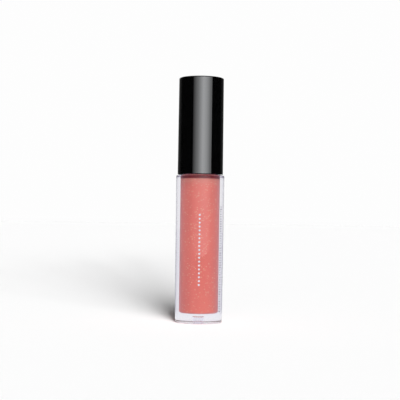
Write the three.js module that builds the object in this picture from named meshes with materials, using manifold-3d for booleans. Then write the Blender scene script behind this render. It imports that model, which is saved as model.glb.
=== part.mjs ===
// Lip gloss tube: a clear thick-walled bottle with a threaded neck, and a black cap that carries the wand.
// Millimetres, +Z up. The origin is the centre of the bottle's foot, on the surface that it stands on.
import * as THREE from 'three';
import { mergeVertices } from 'three/addons/utils/BufferGeometryUtils.js';
import Module from 'manifold-3d';

const wasm = await Module();
wasm.setup();

// Driving dimensions.
const facets = 48; // sides of every round piece
const slimFacets = 32; // sides of the wand
const arcSteps = 2; // half the number of chords in each round
const fitGap = 0.05; // between pieces that are pressed or pushed together

const bottleSize = {
  footRadius: 9.28,
  shoulderRadius: 9.5,
  shoulderTop: 58.05,
  footRound: 0.5,
  shoulderRound: 0.6,
  recessRadius: 1.65,
  recessDepth: 2.6,
  recessRound: 0.35,
  cavityFloor: 3.75,
  cavityFootRadius: 4.89,
  cavityTopRadius: 4.95,
  cavityFloorRound: 0.8,
  cavityTop: 57.6,
};

const neckSize = {
  radius: 6.15,
  boreRadius: 4.6,
  boreFoot: 59,
  top: 71,
  lipChamfer: 0.3,
  beadRadius: 6.75,
  beadTop: 59.3,
};

const thread = {
  lead: 3,
  rootWidth: 1.1,
  crestWidth: 0.5,
  stepsPerTurn: 48,
  runOut: 0.4, // radians over which each end sinks into its wall
  endShare: 0.1, // share of a rib's section left at its very end, inside the wall
  bite: 0.25, // how far a rib's foot is sunk in its wall
  neckCrest: 6.75,
  neckStart: 62,
  neckTurns: 1.75,
  capCrest: 6.86,
  capStart: 60.5,
  capTurns: 1.6,
};

const outerCapSize = {
  foot: 58.35,
  top: 96.6,
  footRadius: 8.99,
  topRadius: 8.87,
  boreRadius: 7.95,
  topWall: 1.2,
  topRound: 0.45,
  edgeRound: 0.18,
};

const innerCapSize = {
  foot: 58.75,
  radius: 7.85,
  boreRadius: 7.3,
  webFoot: 73.05,
  webTop: 74.6,
  bossRadius: 3.6,
  bossTop: 79,
  rimHeight: 0.9,
};

const washerSize = {
  boreRadius: 3.5,
  radius: 6.6,
  foot: 71.95,
  top: 72.95,
};

const stemSize = {
  radius: 1.9,
  foot: 26,
  socketTop: 31,
  footRound: 0.3,
  shoulderFoot: 71.3,
  collarRadius: 3.2,
  collarFoot: 72.05,
  collarTop: 72.95,
  headRadius: 2.4,
  headTop: 78.6,
};

const wiperSize = {
  foot: 61.2,
  orificeRadius: 2.35,
  lipThickness: 0.4,
  funnelTop: 64.6,
  wall: 0.72,
  flangeRadius: 5.9,
  flangeFoot: 71.05,
  flangeTop: 71.8,
  beadFoot: 66.4,
  beadTop: 67.4,
  plugInset: 0.12, // plug's clearance in the bore between its beads
};

const tipSize = {
  foot: 8.5,
  top: 25.4,
  radius: 2.15,
  noseHeight: 3.2,
  topRound: 0.5,
  flock: 0.42, // thickness of the flock
  slantTop: 20.5,
  slantFootOffset: -0.75, // where the slanted face ends at the tip's foot, measured from the axis
  facing: -0.75 * Math.PI, // direction that the slanted face looks in
  spigotRadius: 1.1,
  spigotTop: 30.7,
};

const glossSize = {
  top: 59.8,
  channelRadius: 2.6,
  channelFoot: 7.4,
};

const finishes = {
  clearPlastic: { color: 0xe6e4ec, roughness: 0.04, metalness: 0, transparent: true, opacity: 0.3 },
  gloss: { color: 0xd87d74, roughness: 0.3, metalness: 0 },
  blackGloss: { color: 0x0b0b0d, roughness: 0.12, metalness: 0 },
  blackSatin: { color: 0x161618, roughness: 0.45, metalness: 0 },
  naturalPlastic: { color: 0xe4e2dc, roughness: 0.4, metalness: 0 },
  wiperPlastic: { color: 0xefeeea, roughness: 0.5, metalness: 0 },
  foam: { color: 0xf2f1ee, roughness: 0.8, metalness: 0 },
  flock: { color: 0xc96d66, roughness: 0.95, metalness: 0 },
};

// Turns a profile drawn as radius and height into a solid of revolution about +Z.
// The profile runs anticlockwise: outwards below the solid, up its outside and back inwards.
function revolve(path, sides = facets) {
  const geometry = new THREE.LatheGeometry(path.getPoints(arcSteps), sides);
  return geometry.rotateX(Math.PI / 2);
}

function weld(geometry) {
  const bare = geometry.clone();
  bare.deleteAttribute('normal');
  bare.deleteAttribute('uv');
  const welded = mergeVertices(bare, 1e-4);
  const index = Array.from(welded.index.array);
  const kept = [];
  for (let i = 0; i < index.length; i += 3) {
    const [a, b, c] = index.slice(i, i + 3);
    if (a !== b && b !== c && c !== a) {
      kept.push(a, b, c);
    }
  }
  welded.setIndex(kept);
  return welded;
}

function toSolid(geometry) {
  const welded = weld(geometry);
  const vertProperties = new Float32Array(welded.attributes.position.array);
  const triVerts = new Uint32Array(welded.index.array);
  return new wasm.Manifold(new wasm.Mesh({ numProp: 3, vertProperties, triVerts }));
}

function toGeometry(solid) {
  const mesh = solid.getMesh();
  const geometry = new THREE.BufferGeometry();
  geometry.setAttribute('position', new THREE.BufferAttribute(mesh.vertProperties, mesh.numProp));
  geometry.setIndex(new THREE.BufferAttribute(mesh.triVerts, 1));
  geometry.computeVertexNormals();
  return geometry;
}

function piece(name, geometry, finish) {
  const mesh = new THREE.Mesh(geometry, new THREE.MeshStandardMaterial(finishes[finish]));
  mesh.name = name;
  return mesh;
}

// One thread rib: a straight bar with a tapered section, wrapped into a right-hand helix.
// The bar's X becomes the radius, its Y the height and its Z the angle.
function threadRib(footRadius, crestRadius, startHeight, turns) {
  const inwards = Math.sign(footRadius - crestRadius);
  const foot = footRadius + inwards * thread.bite;
  const corners = [
    new THREE.Vector2(foot, -thread.rootWidth / 2),
    new THREE.Vector2(crestRadius, -thread.crestWidth / 2),
    new THREE.Vector2(crestRadius, thread.crestWidth / 2),
    new THREE.Vector2(foot, thread.rootWidth / 2),
  ];
  const angle = turns * 2 * Math.PI;
  const steps = Math.round(turns * thread.stepsPerTurn);
  const bar = new THREE.ExtrudeGeometry(new THREE.Shape(corners), { depth: angle, steps, bevelEnabled: false });
  const position = bar.attributes.position;
  for (let i = 0; i < position.count; i += 1) {
    const turn = angle - position.getZ(i); // counted from the far end, which keeps the faces pointing out
    const bearing = turn + Math.PI / facets; // half a facet round, so that no rib corner meets a wall edge
    const nearEnd = Math.min(turn, angle - turn) / thread.runOut;
    const share = Math.max(thread.endShare, Math.min(1, nearEnd));
    const height = position.getY(i) * share + startHeight + (thread.lead * turn) / (2 * Math.PI);
    const radius = foot + (position.getX(i) - foot) * share;
    position.setXYZ(i, radius * Math.cos(bearing), radius * Math.sin(bearing), height);
  }
  return toSolid(bar);
}

function bottleProfile() {
  const b = bottleSize;
  const n = neckSize;
  const shoulderCentre = b.shoulderTop - b.shoulderRound;
  const path = new THREE.Path();
  const recessCentre = b.recessRadius - b.recessRound;
  path.moveTo(0, b.recessDepth);
  path.lineTo(recessCentre, b.recessDepth);
  path.absarc(recessCentre, b.recessDepth - b.recessRound, b.recessRound, Math.PI / 2, 0, true);
  path.lineTo(b.recessRadius, 0);
  path.lineTo(b.footRadius - b.footRound, 0);
  path.absarc(b.footRadius - b.footRound, b.footRound, b.footRound, -Math.PI / 2, 0, false);
  path.lineTo(b.shoulderRadius, shoulderCentre);
  path.absarc(b.shoulderRadius - b.shoulderRound, shoulderCentre, b.shoulderRound, 0, Math.PI / 2, false);
  path.lineTo(n.beadRadius, b.shoulderTop);
  path.lineTo(n.beadRadius, n.beadTop - n.lipChamfer);
  path.lineTo(n.beadRadius - n.lipChamfer, n.beadTop);
  path.lineTo(n.radius, n.beadTop);
  path.lineTo(n.radius, n.top - n.lipChamfer);
  path.lineTo(n.radius - n.lipChamfer, n.top);
  path.lineTo(n.boreRadius, n.top);
  path.lineTo(n.boreRadius, n.boreFoot);
  path.lineTo(b.cavityTopRadius, b.cavityTop);
  path.lineTo(b.cavityFootRadius, b.cavityFloor + b.cavityFloorRound);
  const floorCentre = b.cavityFootRadius - b.cavityFloorRound;
  path.absarc(floorCentre, b.cavityFloor + b.cavityFloorRound, b.cavityFloorRound, 0, -Math.PI / 2, true);
  path.lineTo(0, b.cavityFloor);
  return path;
}

function makeBottle() {
  const rib = threadRib(neckSize.radius, thread.neckCrest, thread.neckStart, thread.neckTurns);
  return toGeometry(toSolid(revolve(bottleProfile())).add(rib));
}

function makeOuterCap() {
  const c = outerCapSize;
  const path = new THREE.Path();
  path.moveTo(0, c.top - c.topWall);
  path.lineTo(c.boreRadius - c.topRound, c.top - c.topWall);
  path.absarc(c.boreRadius - c.topRound, c.top - c.topWall - c.topRound, c.topRound, Math.PI / 2, 0, true);
  path.lineTo(c.boreRadius, c.foot + c.edgeRound);
  path.lineTo(c.boreRadius + c.edgeRound, c.foot);
  path.lineTo(c.footRadius - c.edgeRound, c.foot);
  path.absarc(c.footRadius - c.edgeRound, c.foot + c.edgeRound, c.edgeRound, -Math.PI / 2, 0, false);
  path.lineTo(c.topRadius, c.top - c.topRound);
  path.absarc(c.topRadius - c.topRound, c.top - c.topRound, c.topRound, 0, Math.PI / 2, false);
  path.lineTo(0, c.top);
  return revolve(path);
}

function makeInnerCap() {
  const c = innerCapSize;
  const bossBore = stemSize.headRadius + fitGap;
  const path = new THREE.Path();
  path.moveTo(c.boreRadius, c.foot);
  path.lineTo(c.radius, c.foot);
  path.lineTo(c.radius, c.webTop + c.rimHeight);
  path.lineTo(c.boreRadius, c.webTop + c.rimHeight);
  path.lineTo(c.boreRadius, c.webTop);
  path.lineTo(c.bossRadius, c.webTop);
  path.lineTo(c.bossRadius, c.bossTop);
  path.lineTo(bossBore, c.bossTop);
  path.lineTo(bossBore, c.webFoot);
  path.lineTo(c.boreRadius, c.webFoot);
  path.lineTo(c.boreRadius, c.foot);
  const rib = threadRib(c.boreRadius, thread.capCrest, thread.capStart, thread.capTurns);
  return toGeometry(toSolid(revolve(path)).add(rib));
}

function makeWasher() {
  const w = washerSize;
  const path = new THREE.Path();
  path.moveTo(w.boreRadius, w.foot);
  path.lineTo(w.radius, w.foot);
  path.lineTo(w.radius, w.top);
  path.lineTo(w.boreRadius, w.top);
  path.lineTo(w.boreRadius, w.foot);
  return revolve(path);
}

function makeStem() {
  const s = stemSize;
  const socketRadius = tipSize.spigotRadius + fitGap;
  const path = new THREE.Path();
  path.moveTo(0, s.socketTop);
  path.lineTo(socketRadius, s.socketTop);
  path.lineTo(socketRadius, s.foot);
  path.lineTo(s.radius - s.footRound, s.foot);
  path.absarc(s.radius - s.footRound, s.foot + s.footRound, s.footRound, -Math.PI / 2, 0, false);
  path.lineTo(s.radius, s.shoulderFoot);
  path.lineTo(s.collarRadius, s.collarFoot);
  path.lineTo(s.collarRadius, s.collarTop);
  path.lineTo(s.headRadius, s.collarTop);
  path.lineTo(s.headRadius, s.headTop);
  path.lineTo(0, s.headTop);
  return revolve(path, slimFacets);
}

function makeWiper() {
  const w = wiperSize;
  const beadRadius = neckSize.boreRadius - fitGap;
  const plugRadius = neckSize.boreRadius - w.plugInset;
  const path = new THREE.Path();
  path.moveTo(w.orificeRadius, w.foot);
  path.lineTo(w.orificeRadius + w.lipThickness, w.foot);
  path.lineTo(plugRadius, w.funnelTop);
  path.lineTo(plugRadius, w.beadFoot);
  path.lineTo(beadRadius, (w.beadFoot + w.beadTop) / 2);
  path.lineTo(plugRadius, w.beadTop);
  path.lineTo(plugRadius, w.flangeFoot);
  path.lineTo(w.flangeRadius, w.flangeFoot);
  path.lineTo(w.flangeRadius, w.flangeTop);
  path.lineTo(plugRadius - w.wall + w.lipThickness, w.flangeTop);
  path.lineTo(plugRadius - w.wall, w.flangeTop - w.lipThickness);
  path.lineTo(plugRadius - w.wall, w.funnelTop + w.lipThickness);
  path.lineTo(w.orificeRadius, w.foot + w.lipThickness);
  path.lineTo(w.orificeRadius, w.foot);
  return revolve(path);
}

function makeGloss() {
  const g = glossSize;
  const b = bottleSize;
  const floor = b.cavityFloor + fitGap;
  const footRadius = b.cavityFootRadius - fitGap;
  const roundCentre = footRadius - b.cavityFloorRound;
  const path = new THREE.Path();
  path.moveTo(0, floor);
  path.lineTo(roundCentre, floor);
  path.absarc(roundCentre, floor + b.cavityFloorRound, b.cavityFloorRound, -Math.PI / 2, 0, false);
  path.lineTo(b.cavityTopRadius - fitGap, b.cavityTop - fitGap);
  path.lineTo(neckSize.boreRadius - fitGap, neckSize.boreFoot - fitGap);
  path.lineTo(neckSize.boreRadius - fitGap, g.top);
  path.lineTo(g.channelRadius, g.top);
  path.lineTo(g.channelRadius, g.channelFoot);
  path.lineTo(0, g.channelFoot);
  return revolve(path);
}

// The tip's body: a round-nosed peg with one slanted face, drawn inset from the flock's outside.
function tipBody(inset) {
  const t = tipSize;
  const radius = t.radius - inset;
  const nose = t.noseHeight - inset;
  const foot = t.foot + inset;
  const top = t.top - inset;
  const path = new THREE.Path();
  path.moveTo(0, foot);
  path.absellipse(0, foot + nose, radius, nose, -Math.PI / 2, 0, false);
  path.lineTo(radius, top - t.topRound);
  path.absarc(radius - t.topRound, top - t.topRound, t.topRound, 0, Math.PI / 2, false);
  path.lineTo(0, top);
  return toSolid(revolve(path, slimFacets)).subtract(slantCutter(inset));
}

// A block whose one face is the slanted plane of the tip.
function slantCutter(inset) {
  const t = tipSize;
  const reach = 3 * t.slantTop;
  const run = t.radius - t.slantFootOffset;
  const slant = Math.atan2(run, t.slantTop - t.foot);
  const block = new THREE.BoxGeometry(reach, reach, reach);
  block.translate(reach / 2 - inset, 0, 0);
  block.rotateY(-slant);
  block.translate(t.radius, 0, t.slantTop);
  block.rotateZ(t.facing);
  return toSolid(block);
}

function spigot(radius, top) {
  const foot = tipSize.top - 2 * tipSize.noseHeight;
  const path = new THREE.Path();
  path.moveTo(0, foot);
  path.lineTo(radius, foot);
  path.lineTo(radius, top);
  path.lineTo(0, top);
  return toSolid(revolve(path, slimFacets));
}

function makeTipCore() {
  const body = tipBody(tipSize.flock + fitGap);
  return toGeometry(body.add(spigot(tipSize.spigotRadius, tipSize.spigotTop)));
}

function makeFlock() {
  const opening = spigot(tipSize.spigotRadius + fitGap, tipSize.top + 1);
  return toGeometry(tipBody(0).subtract(tipBody(tipSize.flock)).subtract(opening));
}

const tube = new THREE.Group();
tube.add(piece('bottle', makeBottle(), 'clearPlastic'));
tube.add(piece('gloss', makeGloss(), 'gloss'));
tube.add(piece('wiper', makeWiper(), 'wiperPlastic'));

const closure = new THREE.Group();
closure.add(piece('outer_cap', makeOuterCap(), 'blackGloss'));
closure.add(piece('inner_cap', makeInnerCap(), 'blackSatin'));
closure.add(piece('sealing_washer', makeWasher(), 'foam'));

const wand = new THREE.Group();
wand.add(piece('stem', makeStem(), 'naturalPlastic'));
wand.add(piece('applicator_core', makeTipCore(), 'naturalPlastic'));
wand.add(piece('flock_coat', makeFlock(), 'flock'));

closure.add(wand);
tube.add(closure);

export default tube;
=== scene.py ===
# Lip gloss tube: the looks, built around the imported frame. Metres, +Z up the tube, -Y towards the front.
import math

import bmesh
import bpy
from mathutils import Matrix, Vector


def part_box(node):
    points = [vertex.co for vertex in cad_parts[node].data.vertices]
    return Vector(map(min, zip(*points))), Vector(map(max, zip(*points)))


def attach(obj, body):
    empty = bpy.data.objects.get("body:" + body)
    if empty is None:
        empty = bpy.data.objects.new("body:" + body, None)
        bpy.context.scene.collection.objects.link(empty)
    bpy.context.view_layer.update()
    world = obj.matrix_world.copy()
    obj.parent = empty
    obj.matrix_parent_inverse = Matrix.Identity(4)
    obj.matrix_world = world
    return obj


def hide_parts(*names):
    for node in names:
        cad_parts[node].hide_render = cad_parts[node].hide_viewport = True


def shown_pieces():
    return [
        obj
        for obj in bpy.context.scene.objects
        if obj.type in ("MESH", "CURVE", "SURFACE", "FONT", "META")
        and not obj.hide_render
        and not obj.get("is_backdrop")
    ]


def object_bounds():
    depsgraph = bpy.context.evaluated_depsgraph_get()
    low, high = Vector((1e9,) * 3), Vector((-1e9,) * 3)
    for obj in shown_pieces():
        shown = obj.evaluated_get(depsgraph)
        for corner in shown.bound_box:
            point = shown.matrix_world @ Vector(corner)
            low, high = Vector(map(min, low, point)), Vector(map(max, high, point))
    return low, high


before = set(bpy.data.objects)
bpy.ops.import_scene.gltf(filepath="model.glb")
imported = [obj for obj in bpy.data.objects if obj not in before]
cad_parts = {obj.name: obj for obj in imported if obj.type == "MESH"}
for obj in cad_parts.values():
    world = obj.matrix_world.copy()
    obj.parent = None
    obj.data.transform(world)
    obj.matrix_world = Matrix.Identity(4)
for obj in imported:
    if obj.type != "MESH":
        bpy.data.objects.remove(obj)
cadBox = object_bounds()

mm = 0.001
scene = bpy.context.scene
print("frame loaded:", len(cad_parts), "nodes")


class Value:
    # a number socket that Python's own operators work on
    def __init__(self, paint, socket):
        self.paint = paint
        self.socket = socket

    def math(self, operation, *others):
        return self.paint.value("ShaderNodeMath", dict(enumerate((self, *others))), operation=operation)

    def __add__(self, other):
        return self.math("ADD", other)

    def __sub__(self, other):
        return self.math("SUBTRACT", other)

    def __rsub__(self, other):
        return (self * -1.0) + other

    def __mul__(self, other):
        return self.math("MULTIPLY", other)

    def __truediv__(self, other):
        return self.math("DIVIDE", other)

    def __pow__(self, other):
        return self.math("POWER", other)

    __radd__ = __add__
    __rmul__ = __mul__

    def fade(self, low, high, toLow=0.0, toHigh=1.0):
        # eases from toLow at low to toHigh at high
        return self.paint.value("ShaderNodeMapRange", {0: self, 1: low, 2: high, 3: toLow, 4: toHigh},
                                interpolation_type="SMOOTHSTEP")


class Paint:
    # adds nodes to one tree: a material's, a light's or the world's
    def __init__(self, tree):
        self.tree = tree

    def node(self, kind, inputs=None, **settings):
        made = self.tree.nodes.new(kind)
        for key, value in settings.items():
            if key == "stops":
                self.fillRamp(made.color_ramp, value)
            else:
                setattr(made, key, value)
        for key, value in (inputs or {}).items():
            self.plug(made.inputs[key], value)
        return made

    def fillRamp(self, ramp, stops):
        while len(ramp.elements) < len(stops):
            ramp.elements.new(1.0)
        for element, (place, colour) in zip(ramp.elements, stops):
            element.position = place
            element.color = (*colour, 1.0)

    def plug(self, socket, value):
        value = value.socket if isinstance(value, Value) else value
        if isinstance(value, bpy.types.NodeSocket):
            self.tree.links.new(value, socket)
        else:
            socket.default_value = value

    def value(self, kind, inputs=None, **settings):
        return Value(self, self.node(kind, inputs, **settings).outputs[0])

    def split(self, source, kind="ShaderNodeSeparateXYZ"):
        # a vector's or a colour's three numbers
        parts = self.node(kind, {0: source}).outputs
        return [Value(self, parts[i]) for i in range(3)]

    def vector(self, operation, *values):
        # SCALE takes the vector and its factor
        places = (0, 3) if operation == "SCALE" else (0, 1)
        made = self.node("ShaderNodeVectorMath", dict(zip(places, values)), operation=operation)
        return made.outputs[0]

    def mix(self, first, second, share):
        # two colours, mixed by share
        first, second = (colour if isinstance(colour, bpy.types.NodeSocket) else (*colour, 1)
                         for colour in (first, second))
        return self.node("ShaderNodeMix", {0: share, 6: first, 7: second}, data_type="RGBA").outputs[2]

    def place(self, scale=(1, 1, 1)):
        # object coordinates in millimetres, stretched by scale
        here = self.node("ShaderNodeTexCoord").outputs["Object"]
        stretch = [s / mm for s in scale]
        return self.node("ShaderNodeMapping", {"Vector": here, "Scale": stretch}).outputs[0]

    def noise(self, scale, detail=3.0, stretch=(1, 1, 1)):
        # features of about 1/scale millimetres
        inputs = {"Vector": self.place(stretch), "Scale": scale, "Detail": detail}
        return self.value("ShaderNodeTexNoise", inputs)

    def axes(self):
        return self.split(self.place())

    def bump(self, height, depth):
        # depth is the height's full range in millimetres
        inputs = {"Height": height, "Distance": depth * mm, "Strength": 1.0}
        return self.node("ShaderNodeBump", inputs).outputs[0]


def surfaced(name, recipe, fixed):
    # a material with fixed socket values, and whose recipe(paint) returns what the other sockets take
    material = bpy.data.materials.new(name)
    material.use_nodes = True
    paint = Paint(material.node_tree)
    paint.tree.nodes.clear()
    surface = paint.node("ShaderNodeBsdfPrincipled", {**fixed, **recipe(paint)})
    end = paint.node("ShaderNodeOutputMaterial")
    paint.plug(end.inputs["Surface"], surface.outputs[0])
    return material


def bend(centreRadius, centreHeight, radius, start, end, steps=8, height=None):
    # an arc of the outline, from start to end degrees; height makes it an ellipse
    height = radius if height is None else height
    turns = [math.radians(start + (end - start) * i / steps) for i in range(steps + 1)]
    return [(centreRadius + radius * math.cos(t), centreHeight + height * math.sin(t)) for t in turns]


def corner(radius, height, edge, start, steps=4):
    # a rounded corner whose arc begins at start degrees, a multiple of 90
    across = -edge if start in (-90, 0) else edge
    up = edge if start in (-90, 180) else -edge
    return bend(radius + across, height + up, edge, start, start + 90, steps)


def braced(outline, reach=0.12):
    # extra points near the ends of long straight runs, so that smooth shading stays flat there
    made = [outline[0]]
    for (r0, z0), (r1, z1) in zip(outline, outline[1:]):
        length = math.hypot(r1 - r0, z1 - z0)
        if length > 6 * reach:
            share = reach / length
            made.append((r0 + (r1 - r0) * share, z0 + (z1 - z0) * share))
            made.append((r1 - (r1 - r0) * share, z1 - (z1 - z0) * share))
        made.append((r1, z1))
    return made


def turned(name, outline, sides=128):
    # a solid of revolution: the outline is radius and height in millimetres, run anticlockwise,
    # and it starts and ends on the axis or closes on itself
    outline = braced(outline)
    closed = outline[0] == outline[-1]
    mesh = bmesh.new()
    rings = []
    for radius, height in (outline[:-1] if closed else outline):
        if radius < 1e-6:
            rings.append([mesh.verts.new((0, 0, height * mm))] * sides)
            continue
        angles = [2 * math.pi * i / sides for i in range(sides)]
        rings.append([mesh.verts.new((radius * mm * math.cos(a), radius * mm * math.sin(a), height * mm))
                      for a in angles])
    pairs = list(zip(rings, rings[1:])) + ([(rings[-1], rings[0])] if closed else [])
    for low, high in pairs:
        for i in range(sides):
            j = (i + 1) % sides
            corners = list(dict.fromkeys((low[i], low[j], high[j], high[i])))
            if len(corners) > 2:
                mesh.faces.new(corners)
    return settled(name, mesh)


def shown(name, data):
    made = bpy.data.objects.new(name, data)
    scene.collection.objects.link(made)
    return made


def smoothed(data, crease=32):
    # smooth faces with sharp edges where they meet at more than crease degrees
    data.shade_smooth()
    data.set_sharp_from_angle(angle=math.radians(crease))
    return data


def settled(name, mesh):
    # turns a bmesh into an object
    data = bpy.data.meshes.new(name)
    mesh.to_mesh(data)
    mesh.free()
    return shown(name, smoothed(data))


def grown(base, tree, settings, name):
    # runs a geometry tree on base, with settings by socket identifier, and returns a plain mesh object
    modifier = base.modifiers.new("grow", "NODES")
    modifier.node_group = tree
    for item in tree.interface.items_tree:
        if item.item_type == "SOCKET" and item.in_out == "INPUT" and item.name in settings:
            modifier[item.identifier] = settings[item.name]
    base.update_tag()
    graph = bpy.context.evaluated_depsgraph_get()
    data = bpy.data.meshes.new_from_object(base.evaluated_get(graph), depsgraph=graph)
    base.modifiers.remove(modifier)
    data.name = name
    return shown(name, smoothed(data))


def sprouted(tree, settings, name):
    # runs a geometry tree that needs no base of its own, welds the result and points its faces outwards
    holder = shown("holder", bpy.data.meshes.new("holder"))
    made = grown(holder, tree, settings, name)
    bpy.data.objects.remove(holder)
    mesh = bmesh.new()
    mesh.from_mesh(made.data)
    bmesh.ops.remove_doubles(mesh, verts=mesh.verts, dist=1e-7)
    bmesh.ops.recalc_face_normals(mesh, faces=mesh.faces)
    mesh.to_mesh(made.data)
    mesh.free()
    return made


class Grower(Paint):
    # a geometry tree with named inputs; every chain ends in Realize Instances and Set Material
    kinds = {float: "NodeSocketFloat", int: "NodeSocketInt", str: "NodeSocketMaterial"}

    def __init__(self, name, inputs):
        super().__init__(bpy.data.node_groups.new(name, "GeometryNodeTree"))
        face = self.tree.interface
        face.new_socket("Geometry", in_out="INPUT", socket_type="NodeSocketGeometry")
        face.new_socket("Geometry", in_out="OUTPUT", socket_type="NodeSocketGeometry")
        for label, value in inputs.items():
            made = face.new_socket(label, in_out="INPUT", socket_type=self.kinds[type(value)])
            if not isinstance(value, str):
                made.default_value = value
        self.given = self.node("NodeGroupInput").outputs

    def __getitem__(self, label):
        # the tree's input of that name
        return Value(self, self.given[label])

    def numbers(self, *labels):
        return [self[label] for label in labels]

    def shape(self, kind, inputs=None, **settings):
        # what a geometry node gives first
        return self.node("GeometryNode" + kind, inputs, **settings).outputs[0]

    def xyz(self, x=0.0, y=0.0, z=0.0):
        return self.node("ShaderNodeCombineXYZ", {0: x, 1: y, 2: z}).outputs[0]

    def moved(self, geometry, **how):
        # how is Translation, Rotation or Scale
        return self.shape("Transform", {"Geometry": geometry, **how})

    def drawn(self, low, high, seed):
        # a random number for each point
        inputs = {2: low, 3: high, "Seed": seed}
        return self.node("FunctionNodeRandomValue", inputs, data_type="FLOAT").outputs[1]

    def close(self, geometry):
        real = self.shape("RealizeInstances", {0: geometry})
        painted = self.shape("SetMaterial", {"Geometry": real, "Material": self["Material"]})
        self.node("NodeGroupOutput", {0: painted})
        return self.tree


def merged(body, tool, operation="UNION"):
    # tool joined to body or cut from it, as one closed solid
    modifier = body.modifiers.new("merge", "BOOLEAN")
    modifier.operation = operation
    modifier.solver = "EXACT"
    modifier.object = tool
    graph = bpy.context.evaluated_depsgraph_get()
    data = bpy.data.meshes.new_from_object(body.evaluated_get(graph), depsgraph=graph)
    body.modifiers.remove(modifier)
    old = body.data
    body.data = data
    data.name = old.name
    bpy.data.meshes.remove(old)
    bpy.data.objects.remove(tool)
    smoothed(data)
    return body


def dress(piece, material, body, slot, *nodes):
    # material, body, record slot, which is not used, and the CAD nodes that the piece stands for
    piece.data.materials.clear()
    piece.data.materials.append(material)
    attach(piece, body)
    if nodes:
        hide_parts(*nodes)
    return piece


def span(node):
    # a round node's radius, foot and top in millimetres, from the frame
    low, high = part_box(node)
    return (high.x - low.x) / 2 / mm, low.z / mm, high.z / mm


footPoint = Vector(((cadBox[0].x + cadBox[1].x) / 2, (cadBox[0].y + cadBox[1].y) / 2, cadBox[0].z))

view = {
    "distance": 0.440,  # from the tube's axis
    "height": 0.0404,  # of the lens above the floor
    "lens": 100.0,
    "sensor": 36.0,
    "clip": (0.01, 20.0),
    "pitch": 1.03,  # degrees, upwards
    "roll": 0.83,  # degrees, which leans the tube to the right
}


def makeCamera():
    data = bpy.data.cameras.new("camera")
    data.lens = view["lens"]
    data.sensor_width = view["sensor"]
    data.clip_start, data.clip_end = view["clip"]
    camera = shown("camera", data)
    aim = Matrix.Rotation(math.radians(90 + view["pitch"]), 4, "X")
    lean = Matrix.Rotation(math.radians(view["roll"]), 4, "Z")
    spot = footPoint + Vector((0, -view["distance"], view["height"]))
    camera.matrix_world = Matrix.Translation(spot) @ aim @ lean
    scene.camera = camera


makeCamera()
scene.view_settings.view_transform = "Standard"
print("camera placed")

floorSize = {
    "half": 12.0,
    "drop": 0.03,  # millimetres under the foot, so that the two faces don't lie in one plane
    "albedo": 0.9,
    "mottle": 0.98,
    "roughness": 0.9,
    # through and side are painted glows, which clear plastic shows in place of the lit paper
    "through": (0.93, 0.93, 0.95),  # as clear plastic shows it, behind the tube
    "side": (0.84, 0.83, 0.94),  # and beside it
    "flank": (0.0, 0.65),  # from beside the tube to behind it
    "mirrored": (22.0, 70.0),  # how far out, in millimetres, the paper fades from reflections
    "faded": 0.93,
}


def makeFloor():
    mesh = bmesh.new()
    bmesh.ops.create_grid(mesh, x_segments=1, y_segments=1, size=floorSize["half"])
    floor = settled("floor", mesh)
    floor.data.transform(Matrix.Translation(footPoint - Vector((0, 0, floorSize["drop"] * mm))))

    def recipe(paint):
        # through clear plastic the paper is a painted glow, evenly lit and without shadows, and reflections
        # show it only near the tube
        f = floorSize
        shade = paint.noise(0.01, 2.0).fade(0.3, 0.7, 0.985, 1.0)
        plain = paint.mix((f["albedo"] * f["mottle"],) * 3, (f["albedo"],) * 3, shade)
        rays = paint.node("ShaderNodeLightPath").outputs
        through, mirrored = (Value(paint, rays[name]) for name in ("Is Transmission Ray", "Is Glossy Ray"))
        x, y, _ = paint.axes()
        radius = (x * x + y * y) ** 0.5
        sideways = (y / radius).fade(*f["flank"], 1.0, 0.0)
        hidden = through.math("MAXIMUM", mirrored * radius.fade(*f["mirrored"], 0.0, f["faded"]))
        # painted glow: emission that only transmission rays see
        glow = paint.mix(f["through"], f["side"], sideways)
        return {"Base Color": paint.mix(plain, (0, 0, 0), hidden), "Roughness": f["roughness"],
                "Emission Color": paint.mix((0, 0, 0), glow, through), "Emission Strength": 1.0}

    floor.data.materials.append(surfaced("palePaper", recipe, {"Specular IOR Level": 0.0}))
    floor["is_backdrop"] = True
    return floor


sky = {
    "seen": (0.985, 0.985, 0.985),  # to the camera, and through clear plastic from the back
    "side": (0.95, 0.94, 1.0),  # through clear plastic from the sides
    "soft": 0.03,  # ambient light on matt surfaces
    "mirrorFront": 0.006,  # in reflections, from the front and the sides
    "mirrorBack": 0.12,
    "flank": (0.0, 0.65),  # from the sides to the back
    "back": (0.35, 0.95),
}


def makeSky():
    world = bpy.data.worlds.new("studio")
    scene.world = world
    world.use_nodes = True
    paint = Paint(world.node_tree)
    paint.tree.nodes.clear()
    rays = paint.node("ShaderNodeLightPath").outputs
    direction = paint.node("ShaderNodeTexCoord").outputs["Generated"]
    _, behind, _ = paint.split(direction)  # 1 behind the tube, -1 in front
    clear = paint.mix(sky["side"], sky["seen"], behind.fade(*sky["flank"]))
    mirror = behind.fade(*sky["back"], sky["mirrorFront"], sky["mirrorBack"])
    mirrored = paint.node("ShaderNodeCombineColor", {0: mirror, 1: mirror, 2: mirror}).outputs[0]
    colour = paint.mix((sky["soft"],) * 3, mirrored, Value(paint, rays["Is Glossy Ray"]))
    colour = paint.mix(colour, clear, Value(paint, rays["Is Transmission Ray"]))
    colour = paint.mix(colour, sky["seen"], Value(paint, rays["Is Camera Ray"]))
    background = paint.node("ShaderNodeBackground", {"Color": colour, "Strength": 1.0})
    end = paint.node("ShaderNodeOutputWorld")
    paint.plug(end.inputs["Surface"], background.outputs[0])


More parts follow.
